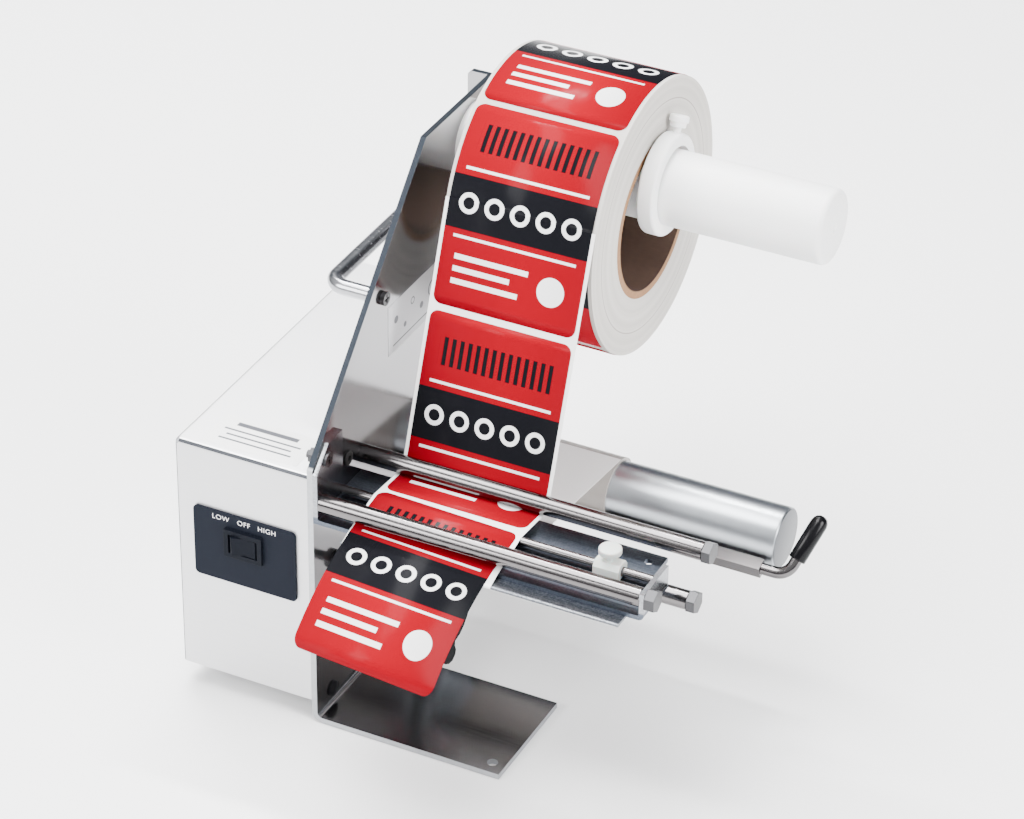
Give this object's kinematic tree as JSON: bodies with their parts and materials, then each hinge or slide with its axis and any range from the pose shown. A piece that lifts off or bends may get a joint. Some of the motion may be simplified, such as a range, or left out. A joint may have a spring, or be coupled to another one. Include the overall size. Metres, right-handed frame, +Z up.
{
  "type": "label dispenser",
  "caption": "Motor-driven bench label dispenser: side plate with motor case, label roll on a hub, guide rods, peel plate and liner winding drum.",
  "frame": {"origin": "centre of the screw hole in the foot, at the level of the bench under the foot", "axes": "+X from the motor case towards the free ends of the rods and the hub, +Y from the label outlet to the rear, +Z up"},
  "size_m": [0.2903, 0.2979, 0.3037],
  "materials": {
    "stainless": "brushed stainless sheet",
    "rod_steel": "polished bar",
    "bolt_steel": "turned steel",
    "case_steel": "light brushed stainless sheet",
    "rubber_black": "matt",
    "plate_blue_grey": "satin",
    "black_plastic": "satin",
    "motor_steel": "zinc plated",
    "brass_tab": "plain",
    "board_green": "solder mask",
    "white_plastic": "satin",
    "drum_alu": "turned",
    "core_board": "plain",
    "roll_paper": "edge of the wound labels",
    "liner_paper": "glassine",
    "label_paper": "gloss print",
    "sticker": "matt film"
  },
  "bodies": {
    "machine": {"side_plate": "stainless", "case_cover": "case_steel", "case_floor": "case_steel", "case_back": "case_steel", "case_screws": "bolt_steel", "rubber_feet": "rubber_black", "foot_screws": "bolt_steel", "foot_nuts": "bolt_steel", "switch_plate": "plate_blue_grey", "switch_body": "black_plastic", "power_inlet": "black_plastic", "inlet_nut": "bolt_steel", "gearbox": "motor_steel", "gearbox_screws": "bolt_steel", "motor": "motor_steel", "motor_terminals": "brass_tab", "control_board": "board_green", "board_standoffs": "brass_tab", "board_screws": "bolt_steel", "board_parts": "black_plastic", "hub_tube": "white_plastic", "hub_bolt": "bolt_steel", "web_liner": "liner_paper", "liner_return": "liner_paper", "web_labels": "label_paper", "dispensed_label": "label_paper", "strip_bracket": "stainless", "peel_plate": "stainless", "ear_screw": "bolt_steel", "upper_rod": "rod_steel", "front_rod": "rod_steel", "return_rod": "rod_steel", "rod_bolts": "bolt_steel", "guide_rod": "rod_steel", "grommet": "rubber_black", "blanking_plug": "black_plastic", "carry_handle": "rod_steel", "handle_screws": "bolt_steel", "sensor_bush": "black_plastic", "micro_switch": "black_plastic", "path_sticker": "sticker", "notice_sticker": "sticker"},
    "drum": {"output_shaft": "bolt_steel", "drum_hub": "drum_alu", "drum_tube": "drum_alu", "drum_cap": "drum_alu", "wound_liner": "liner_paper"},
    "clamp": {"clamp_bar": "rod_steel", "clamp_grip": "black_plastic"},
    "roll": {"supply_core": "core_board", "supply_roll": "roll_paper"},
    "rocker_body": {"rocker": "black_plastic"},
    "sensor": {"sensor_shaft": "bolt_steel", "sensor_lever": "black_plastic", "sensor_cam": "white_plastic"},
    "collar": {"hub_collar": "white_plastic"},
    "collar_screw": {"hub_thumb_screw": "white_plastic"},
    "guide": {"edge_guide": "white_plastic"},
    "guide_screw": {"edge_guide_screw": "white_plastic"}
  },
  "joints": [
    {"name": "drum_spin", "type": "hinge", "parent": "machine", "child": "drum", "pos_m": [-0.0944, 0.1286, 0.089], "axis": [1, 0, 0], "continuous": true, "deforming": ["liner_return"]},
    {"name": "roll_spin", "type": "hinge", "parent": "machine", "child": "roll", "pos_m": [-0.0944, 0.1606, 0.2327], "axis": [1, 0, 0], "continuous": true},
    {"name": "clamp_slide", "type": "slide", "parent": "drum", "child": "clamp", "axis": [1, 0, 0], "range_m": [0, 0.18]},
    {"name": "switch_tilt", "type": "hinge", "parent": "machine", "child": "rocker_body", "pos_m": [-0.1327, -0.0069, 0.0959], "axis": [0, 0, -1], "range_deg": [0, 20]},
    {"name": "sensor_swing", "type": "hinge", "parent": "machine", "child": "sensor", "pos_m": [-0.0944, 0.0166, 0.084], "axis": [1, 0, 0], "range_deg": [0, 18], "stiffness_Nm_per_rad": 0.02, "springref_deg": -28.65},
    {"name": "collar_slide", "type": "slide", "parent": "machine", "child": "collar", "axis": [1, 0, 0], "range_m": [0, 0.078]},
    {"name": "collar_screw_turn", "type": "hinge", "parent": "collar", "child": "collar_screw", "pos_m": [0.0114, 0.1606, 0.2515], "axis": [0, 0.4194, 0.9078], "range_deg": [0, 270]},
    {"name": "guide_slide", "type": "slide", "parent": "machine", "child": "guide", "axis": [1, 0, 0], "range_m": [-0.036, 0.018]},
    {"name": "guide_screw_turn", "type": "hinge", "parent": "guide", "child": "guide_screw", "pos_m": [0.05235, 0.0176, 0.13], "axis": [0, 0, 1], "range_deg": [0, 270]}
  ],
  "couplings": [
    {"joint": "roll_spin", "follows": "drum_spin", "ratio": -0.24507}
  ]
}
